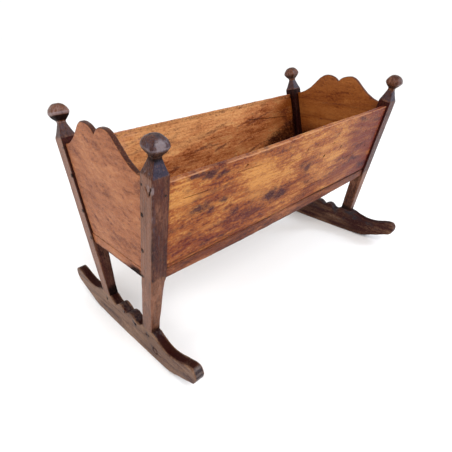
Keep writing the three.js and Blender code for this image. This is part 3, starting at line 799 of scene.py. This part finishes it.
# Side boards and their rails. On a board, x runs along it and y up the slope.
FRONT_STAINS = spots(
    (-370, 500, 24, 7, 0.9), (-335, 491, 28, 8, 1.0), (-292, 479, 26, 7, 0.9), (-352, 415, 36, 10, 0.9),
    (-322, 396, 16, 12, 0.8), (-286, 416, 20, 9, 0.8), (-262, 381, 18, 15, 0.8), (-238, 361, 18, 10, 0.7),
    (-104, 360, 34, 17, 1.0), (-58, 348, 34, 15, 1.0), (18, 410, 22, 16, 0.65), (50, 394, 24, 16, 0.65),
    (75, 355, 38, 7, 0.75), (-320, 305, 36, 5, 0.8), (-262, 300, 30, 5, 0.8), (-155, 500, 18, 4, 0.8),
    (170, 470, 30, 8, 0.45), (262, 460, 36, 9, 0.55), (330, 400, 50, 12, 0.55), (-180, 330, 30, 9, 0.5),
    (300, 492, 60, 7, 0.65), (390, 480, 40, 10, 0.6), (240, 372, 60, 7, 0.6), (330, 350, 70, 10, 0.75),
    (400, 310, 40, 16, 0.8), (180, 320, 60, 7, 0.6), (410, 420, 24, 30, 0.5), (-60, 310, 70, 5, 0.5),
    (-390, 470, 20, 10, 0.5), (-380, 350, 24, 6, 0.5), (-200, 400, 20, 8, 0.45), (110, 395, 26, 6, 0.5))
FRONT_MARKS = spots(
    (-216, 480, 5, 4, 0.9), (125, 415, 5, 4, 0.9), (210, 420, 4, 4, 0.8), (-345, 412, 16, 3, 0.7),
    (-255, 384, 9, 5, 0.7), (-100, 357, 14, 4, 0.7), (-60, 345, 12, 3, 0.6), (-392, 440, 3, 3, 0.8),
    (-180, 455, 3, 3, 0.8), (20, 455, 9, 2, 0.7), (70, 468, 3, 3, 0.7), (160, 446, 12, 2, 0.6),
    (300, 470, 14, 2, 0.6), (350, 440, 4, 3, 0.7), (380, 390, 12, 2, 0.6), (-300, 330, 14, 2, 0.6),
    (-20, 330, 16, 2, 0.5), (230, 350, 14, 2, 0.6), (-330, 492, 12, 2, 0.7), (0, 490, 10, 2, 0.6))
FRONT_LIGHTS = spots(
    (-165, 432, 36, 52, 0.9), (25, 474, 30, 15, 0.8), (200, 341, 54, 8, 0.75), (-290, 345, 40, 12, 0.4),
    (-30, 300, 60, 9, 0.4), (110, 440, 30, 14, 0.5), (-385, 450, 44, 24, 0.8))
FRONT_DENTS = grooves(
    (-216, 480, -214, 480, 2.2, 4.0), (124, 415, 126, 415, 2.2, 4.0), (209, 420, 211, 420, 2.0, 4.0),
    (-400, 455, -330, 452, 0.8, 0.8), (-250, 470, -160, 466, 0.7, 0.6), (60, 330, 150, 327, 0.7, 0.6),
    (250, 372, 330, 377, 0.8, 0.7), (-60, 438, 10, 441, 0.6, 0.5))


def by_posts(x):
    """Where the ends of a board or rail meet the posts."""
    return near_line(np.abs(x), 0.44, 0.006)


def front_board_layers(points, near, dent):
    x, y, z = points.T
    flow = wobble(np.c_[x, y + 0.06 * x, z], (0.1, 0.014, 0.05), 24)
    tone = patches(points, FRONT_LIGHTS, 21) - smooth(0.16, 0.42, x) * (1.05 - 1.1 * flow)
    tone += 0.5 * flow - 0.2 * smooth(0.36, 0.3, y)
    edge = smooth(0.49, 0.499, y)
    arris = smooth(0.0035, 0.0062, z)
    dark_edge = 0.8 * near_line(x, -0.31, 0.05) + 0.3 * smooth(0.24, 0.36, x)
    broken = dark_edge + 0.9 * smooth(0.1, 0.5, wobble(points * [1, 0, 0], 0.012, 26))
    foot_dirt = (0.65 + 0.4 * smooth(0.0, 0.16, x)) * near_line(y, y.min(), 0.006)
    return {
        "stain_and_sheen": (patches(points, FRONT_STAINS, 22) + 0.25 * near_line(x, 0.4397, 0.03)
            + 0.6 * dark_edge * edge),
        "tone": tone,
        "wear_and_highlight": (0.2 * near + 0.14 * smooth(-0.05, -0.4, x)
            + edge * near * (0.08 + 1.3 * arris) * (1 - broken)),
        "grime_and_shade": (patches(points, FRONT_MARKS, 27) + foot_dirt + 0.9 * dent + 0.55 * by_posts(x)
            + 0.5 * near_line(y, y.min() + 0.012, 0.0022) * smooth(-0.1, -0.25, x))}


BACK_DENTS = grooves(
    (190, 452, 300, 440, 1.0, 1.5), (300, 440, 400, 430, 0.9, 1.2), (-330, 350, -220, 352, 0.6, 0.6))
BACK_STAINS = spots(
    (0, 410, 9, 6, 1.0), (150, 497, 9, 5, 1.0), (330, 330, 90, 40, 0.7), (-250, 300, 80, 14, 0.6),
    (120, 340, 60, 8, 0.5), (400, 420, 40, 70, 0.6), (-120, 372, 60, 6, 0.5), (-330, 400, 50, 12, 0.9),
    (-230, 420, 40, 10, 0.8), (-300, 440, 60, 6, 0.5), (-150, 440, 40, 6, 0.5), (-60, 470, 60, 5, 0.45),
    (60, 455, 50, 6, 0.5), (-380, 380, 40, 16, 0.7), (230, 470, 60, 5, 0.5))


def back_board_layers(points, near, dent):
    x, y, z = points.T
    line = 0.435 + 0.184 * x + 0.012 * wobble(points * [1, 0, 0], 0.09, 33)
    above = smooth(-0.03, 0.022, y - line)
    inner = z < 0
    flow = wobble(np.c_[x, y - 0.184 * x, z], (0.12, 0.012, 0.05), 34)
    # The inner face darkens towards the right back post as painted shade.
    tone = 0.5 * above - 0.35 * (1 - above) - 0.6 * smooth(0.25, 0.44, x) + 0.45 * flow
    streaks = smooth(0.1, 0.45, flow) * (0.75 - 0.3 * above)
    rubbed = smooth(-0.16, -0.3, x) * smooth(0.425, 0.47, y)
    # Painted shade: darker towards the bottom of the inner face and into the corner by the right back post.
    corner = 0.4 * smooth(0.36, 0.29, y) + 0.72 * smooth(0.14, 0.32, x) * smooth(0.325, 0.25, y - 0.3 * x)
    return {
        "stain_and_sheen": np.maximum(patches(points, BACK_STAINS, 31), streaks) * inner,
        "tone": np.where(inner, tone, -0.3),
        "wear_and_highlight": (near * (0.4 + 0.5 * smooth(0.48, 0.495, y))
            + inner * rubbed * (0.45 + 0.6 * wobble(points, (0.03, 0.006, 0.006), 36))),
        "grime_and_shade": 0.9 * dent + 0.35 * by_posts(x) + corner * inner + 0.35 * smooth(0.4925, 0.4965, y)}


def board_radius(rim):
    """A worn top edge and a chamfer above the rail's line."""
    return 0.0012 + 0.0016 * smooth(0.49, 0.494, rim[:, 1]) + 0.0016 * smooth(0.285, 0.28, rim[:, 1])


def rail_radius(rim):
    low, high = rim[:, 1].min(), rim[:, 1].max()
    thick_line = 0.0018 * smooth(high - 0.002, high - 0.001, rim[:, 1]) * smooth(0.08, 0.16, rim[:, 0])
    return 0.0014 + 0.0016 * smooth(low + 0.014, low + 0.008, rim[:, 1]) + thick_line


def rail_layers(points, near, dent):
    x, y, _ = points.T
    # Painted shade on the rail's lowest strip, its downward-facing edge, through stain and grime.
    low = smooth(y.min() + 0.011, y.min() + 0.003, y)
    flow = wobble(points, (0.07, 0.006, 0.02), 42)
    return {
        "wear_and_highlight": near * 0.6,
        "stain_and_sheen": 0.5 * low + 0.3 * wobble(points, (0.09, 0.03, 0.03), 41),
        "tone": 0.9 * flow - 0.25 * smooth(0.05, 0.2, x) - 0.3 * smooth(0.0, -0.2, x),
        "grime_and_shade": (0.5 * low * near + 0.5 * by_posts(x) + 0.3 * low
            + 0.55 * near_line(y, y.max(), 0.004) * (0.4 + 0.6 * smooth(0.05, 0.16, x)))}


# ---- End panels, end rails and rockers. Here x runs across the cradle and y is the height. ----
LEFT_STAINS = spots(
    (-84, 262, 26, 9, 1.0), (60, 420, 40, 5, 0.45), (-60, 470, 46, 5, 0.4), (10, 350, 60, 5, 0.4),
    (90, 320, 30, 12, 0.35), (-30, 540, 60, 6, 0.35), (120, 500, 20, 22, 0.4))
LEFT_LIGHTS = spots((-70, 430, 50, 30, 0.35), (30, 480, 60, 24, 0.4), (40, 310, 70, 16, 0.3))


def left_panel_layers(points, near, dent):
    x, y, _ = points.T
    border = 0.0605 + 0.215 * y
    # Painted shadow in the recesses between the panel and the posts, strongest by the left back post.
    painted_reveal_shadow = 1.1 * near_line(x, border - 0.001, 0.005) + 0.3 * near_line(x, -border, 0.004)
    slant = wobble(np.c_[x + 0.9 * y, y - 0.5 * x, points[:, 2]], (0.05, 0.008, 0.05), 53)
    return {
        "stain_and_sheen": patches(points, LEFT_STAINS, 51) + 0.55 * smooth(0.25, 0.55, slant),
        "tone": patches(points, LEFT_LIGHTS, 52) - 0.3 * smooth(0.1, 0.16, x) - 0.6 * slant,
        "wear_and_highlight": 1.5 * near * smooth(0.5, 0.52, y),
        "grime_and_shade": painted_reveal_shadow + 0.5 * near_line(y, 0.2785, 0.003) + 0.9 * dent}


def right_panel_layers(points, near, dent):
    x, y, _ = points.T
    band = near_line(y, 0.45 + 0.03 * x, 0.022)
    # Painted shade: the inner face darkens towards the bottom, through tone and grime.
    return {
        "tone": 0.45 * band + 0.3 * smooth(0.51, 0.54, y) - 0.55 * smooth(0.42, 0.34, y),
        "stain_and_sheen": 0.5 * near_line(y, 0.422 + 0.03 * x, 0.006) + 0.45 * near_line(y, 0.482 + 0.05 * x, 0.004),
        "wear_and_highlight": 1.5 * near * smooth(0.5, 0.52, y), "grime_and_shade": 0.62 * smooth(0.43, 0.33, y) + 0.9 * dent}


def panel_radius(rim):
    return 0.001 + 0.0022 * smooth(0.5, 0.515, rim[:, 1])


def end_rail_layers(points, near, dent):
    x, y, _ = points.T
    broken = near_line(x, -0.09, 0.034) * smooth(0.274, 0.26, y)
    low = smooth(0.258, 0.251, y)
    return {"stain_and_sheen": 0.2 + 0.3 * wobble(points, (0.06, 0.02, 0.02), 55) + 0.7 * broken + 0.5 * low,
            "wear_and_highlight": 0.0, "grime_and_shade": 0.35 * near + 1.0 * broken + 0.35 * low, "tone": 0.1}


PLUG_AT = upright(-1).inverted() @ ((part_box("rocker_plug")[0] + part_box("rocker_plug")[1]) / 2)


def rocker_layers(marks, shade_under_cradle, seed):
    def layers(points, near, dent):
        x, y, z = points.T
        apart = np.abs(x)
        reach = np.where(x < 0, -x.min(), x.max())
        seam = smooth(0.0125, 0.0095, np.hypot(x - PLUG_AT.x, y - PLUG_AT.y)) * (shade_under_cradle < 0.5)
        floor = smooth(0.012, 0.003, y)
        sawn = smooth(ROCKER_THICK / 2 - 0.001, ROCKER_THICK / 2 - 0.0035, np.abs(z))
        top = sawn * smooth(0.045, 0.06, y)
        heel = sawn * smooth(-0.02, -0.006, apart - reach)
        bands = near_line(y, 0.052, 0.0035) + near_line(y, 0.066, 0.003) + near_line(y, 0.078, 0.003)
        by_leg = smooth(0.165, 0.125, apart) * smooth(0.075, 0.085, apart) + 0.6 * smooth(0.085, 0.06, apart)
        by_leg = top * by_leg
        end = heel * (1.0 if shade_under_cradle < 0.5 else 0.2)
        # The right rocker's visible face lies under the cradle and is darkened with painted shade; its front
        # end, out from under the cradle, less so.
        end_out_of_shade = smooth(-0.19, -0.25, x) * (shade_under_cradle > 0.5)
        clean = top * (smooth(0.205, 0.255, apart) * (1 - heel) + 0.8 * smooth(0.055, 0.045, apart))
        edge_dirt = 1.1 - 0.4 * clean - 0.75 * heel - 0.5 * by_leg
        return {
            "stain_and_sheen": patches(points, marks, 61) + 1.1 * by_leg + end * (0.9 + 0.6 * bands),
            "tone": 0.3 - shade_under_cradle * (1 - 0.3 * end_out_of_shade) + 0.9 * wobble(points, (0.09, 0.011, 0.02), 62 + seed),
            "wear_and_highlight": near * (0.25 + 0.6 * floor) * (1 - sawn) + 0.9 * end * (1 - np.clip(1.3 * bands, 0, 1)),
            "grime_and_shade": 0.9 * np.maximum(dent, seam) + sawn * edge_dirt * smooth(0.03, 0.04, y)}
    return layers


ROCKER_DENTS = grooves((-93.5, 68.6, -94.5, 68.6, 4.6, 0.5), (103.0, 69.3, 104.0, 69.3, 4.6, 0.5))
LEFT_ROCKER_DENTS = ROCKER_DENTS + grooves(
    (-125.5, 34, -126.5, 34, 9.0, 0.5), (-45.0, 69, -42.0, 68.5, 3.8, 4.0), (8, 73, 9, 86, 1.4, 2.4),
    (-60, 44, -150, 30, 0.7, 0.6), (40, 52, 130, 50, 0.6, 0.5), (180, 60, 250, 72, 0.7, 0.6))
LEFT_ROCKER_MARKS = spots(
    (-44, 68, 7, 6, 1.3), (106, 70, 7, 6, 1.2), (-100, 69, 8, 6, 1.3), (-115, 37, 5, 9, 1.2),
    (10, 80, 6, 9, 0.9), (-190, 52, 30, 7, 0.35), (190, 46, 34, 8, 0.4), (60, 30, 40, 6, 0.3),
    (-40, 24, 40, 6, 0.3))
RIGHT_ROCKER_MARKS = spots(
    (-118, 84, 26, 14, 0.9), (-150, 70, 26, 10, 0.7), (-60, 74, 14, 10, 0.7), (-90, 40, 60, 9, 0.5),
    (60, 60, 60, 12, 0.6), (-205, 66, 20, 8, 0.6), (-240, 50, 30, 8, 0.4), (180, 30, 50, 14, 0.6))


# ---- Everything that stands between the posts ----
for side, name, layers_of, dents, face in (
        (-1, "front", front_board_layers, FRONT_DENTS, 1), (1, "back", back_board_layers, BACK_DENTS, -1)):
    plank(f"side_board_{name}", lean(side), 1, board_radius, f"{name}_board", "board", layers_of,
          seed=3 + side, nick=0.0008, wave=0.0007, grid=0.005, dents=dents, dent_face=face)
    plank(f"side_rail_{name}", lean(side), 1, rail_radius, "rail", "rail", rail_layers,
          seed=7 + side, nick=0.0008)

# The last number of each row is the painted shade on a rocker under the cradle; it also tells the right
# rocker from the left.
for end, name, panel_layers, rocker_dents, marks, shade_under_cradle in (
        (-1, "left", left_panel_layers, LEFT_ROCKER_DENTS, LEFT_ROCKER_MARKS, 0.0),
        (1, "right", right_panel_layers, ROCKER_DENTS, RIGHT_ROCKER_MARKS, 0.9)):
    plank(f"end_panel_{name}", upright(end), 2, panel_radius, f"panel_{name}", "panel", panel_layers,
          seed=11 + end, grid=0.006)
    plank(f"end_rail_{name}", upright(end), 2, 0.0016, f"panel_{name}", "rail", end_rail_layers,
          seed=15 + end)
    plank(f"rocker_{name}", upright(end), 2, 0.0022, "rocker", "rocker", rocker_layers(marks, shade_under_cradle, end),
          seed=19 + end, nick=0.0009, grid=0.005, dents=rocker_dents)


def floor_layers(points, near, dent):
    return {"wear_and_highlight": near * 0.5, "stain_and_sheen": 0.35 * wobble(points, (0.2, 0.05, 0.05), 71),
            "tone": 0.4 * wobble(points, (0.3, 0.08, 0.05), 72), "grime_and_shade": 0.25 * near}


ALONG = Matrix.Identity(4)
ACROSS = Matrix(((0, 1, 0, 0), (1, 0, 0, 0), (0, 0, 1, 0), (0, 0, 0, 1)))
for seed, part in enumerate(("front", "middle", "back")):
    plank(f"floor_board_{part}", ALONG, 2, 0.001, "floor", "floor", floor_layers,
          seed=81 + seed, nick=0.0001, grid=0.009)
for seed, part in enumerate(("left", "middle", "right")):
    plank(f"floor_batten_{part}", ACROSS, 2, 0.0015, "floor", "rail", floor_layers, seed=91 + seed, sign=-1)

POSTS = [(-1, -1), (-1, 1), (1, -1), (1, 1)]
for seed, (end, side) in enumerate(POSTS):
    post_piece(end, side, 3.3 + seed * 2.1)


# ---- Pegs ----
PEG_SIDES = 20


def peg(node, place, radius, seed, proud=0.0004, material="peg", dirty_rim=1.0):
    """A whittled peg on the CAD peg's own line: uneven section, domed head, dark end grain."""
    local = local_points(node, place)
    low, high = local.min(axis=0), local.max(axis=0)
    middle = (low + high) / 2
    angles = np.arange(PEG_SIDES) * 2 * math.pi / PEG_SIDES
    around = np.c_[np.cos(angles) * 1.3, np.sin(angles) * 1.3, np.full(PEG_SIDES, seed * 2.7)]
    uneven = [1 + 0.09 * noise.noise(Vector(p)) for p in around]
    head = high[2] + proud
    rows = [(low[2], 0.86), (low[2] + 0.002, 1.0), (head - 0.0022, 1.0), (head - 0.0006, 0.985),
            (head - 0.0002, 0.9), (head, 0.74), (head + 0.0001, 0.4)]
    points = [(middle[0] + radius * share * u * math.cos(a), middle[1] + radius * share * u * math.sin(a), z)
              for z, share in rows for a, u in zip(angles, uneven)]
    rim = dirty_rim * np.repeat([0.0, 0.3, 0.6, 0.8, 0.3, 0.0, 0.0], PEG_SIDES)
    faces = loft_faces(len(rows), PEG_SIDES)
    piece = make_piece(f"{node}_wood", np.array(points), faces, {"grime_and_shade": rim}, place, 50)
    finish_piece(piece, WOODS[material], "peg", node)


def out_last(side):
    """The frame of a leaning side with the outward axis last."""
    return lean(side) @ Matrix(((1, 0, 0, 0), (0, 0, 1, 0), (0, 1, 0, 0), (0, 0, 0, 1)))


seed = 0
for end, side in POSTS:
    corner = corner_of(end, side)
    for k in range(1, 5):
        peg(f"panel_peg_{corner}_{k}", upright(end), 0.0036, seed + k)
    for k in range(1, 3):
        peg(f"side_peg_{corner}_{k}", out_last(side), 0.0034, seed + 4 + k)
    peg(f"foot_peg_{corner}", upright(end), 0.0042, seed + 8, 0.001)
    seed += 10
peg("rocker_plug", upright(-1), 0.0081, seed, 0.0002, "rocker", 1.8)


# ---- Floor, light and camera ----
ground = bpy.data.meshes.new("ground")
ground.from_pydata([(-40, -40, 0), (40, -40, 0), (40, 40, 0), (-40, 40, 0)], [], [(0, 1, 2, 3)])
ground_object = add_object("ground", ground)
pale = Shader("pale_floor")
paper = pale.add("BsdfDiffuse", {"Color": (0.96, 0.96, 0.96, 1)})
pale.add("OutputMaterial", {"Surface": paper.outputs[0]})
ground.materials.append(pale.material)

world = bpy.data.worlds.new("studio")
world.use_nodes = True
sky = world.node_tree.nodes["Background"].inputs
sky["Color"].default_value = (1, 1, 1, 1)
sky["Strength"].default_value = 1.05
bpy.context.scene.world = world


def soft_light(name, place, target, size, power, colour=(1, 1, 1)):
    data = bpy.data.lights.new(name, "AREA")
    data.shape = "DISK"
    data.size = size
    data.energy = power
    data.color = colour
    light = add_object(name, data)
    light.location = place
    light.rotation_euler = (Vector(target) - Vector(place)).to_track_quat("-Z", "Y").to_euler()


soft_light("key", (-0.6, -2.2, 2.6), (0, 0, 0.3), 1.4, 45)
soft_light("side", (-2.6, 0.3, 1.8), (0, 0, 0.3), 1.2, 16)
soft_light("window", (2.2, -2.3, 2.1), (0, 0, 0.4), 1.0, 40, (0.78, 0.87, 1.0))

CAMERA_PLACE = Vector((-0.8159, -0.7549, 0.7575))
CAMERA_AZIMUTH, CAMERA_ELEVATION, CAMERA_ROLL = (math.radians(a) for a in (-43.297, 28.421, -1.574))
aim = Matrix.Rotation(CAMERA_AZIMUTH, 4, "Z") @ Matrix.Rotation(math.pi / 2 - CAMERA_ELEVATION, 4, "X")
lens = bpy.data.cameras.new("camera")
lens.lens = 30.09
lens.sensor_width = 36
lens.clip_start = 0.05
camera = add_object("camera", lens)
camera.matrix_world = Matrix.Translation(CAMERA_PLACE) @ aim @ Matrix.Rotation(CAMERA_ROLL, 4, "Z")
bpy.context.scene.camera = camera
bpy.context.scene.view_settings.view_transform = "Standard"
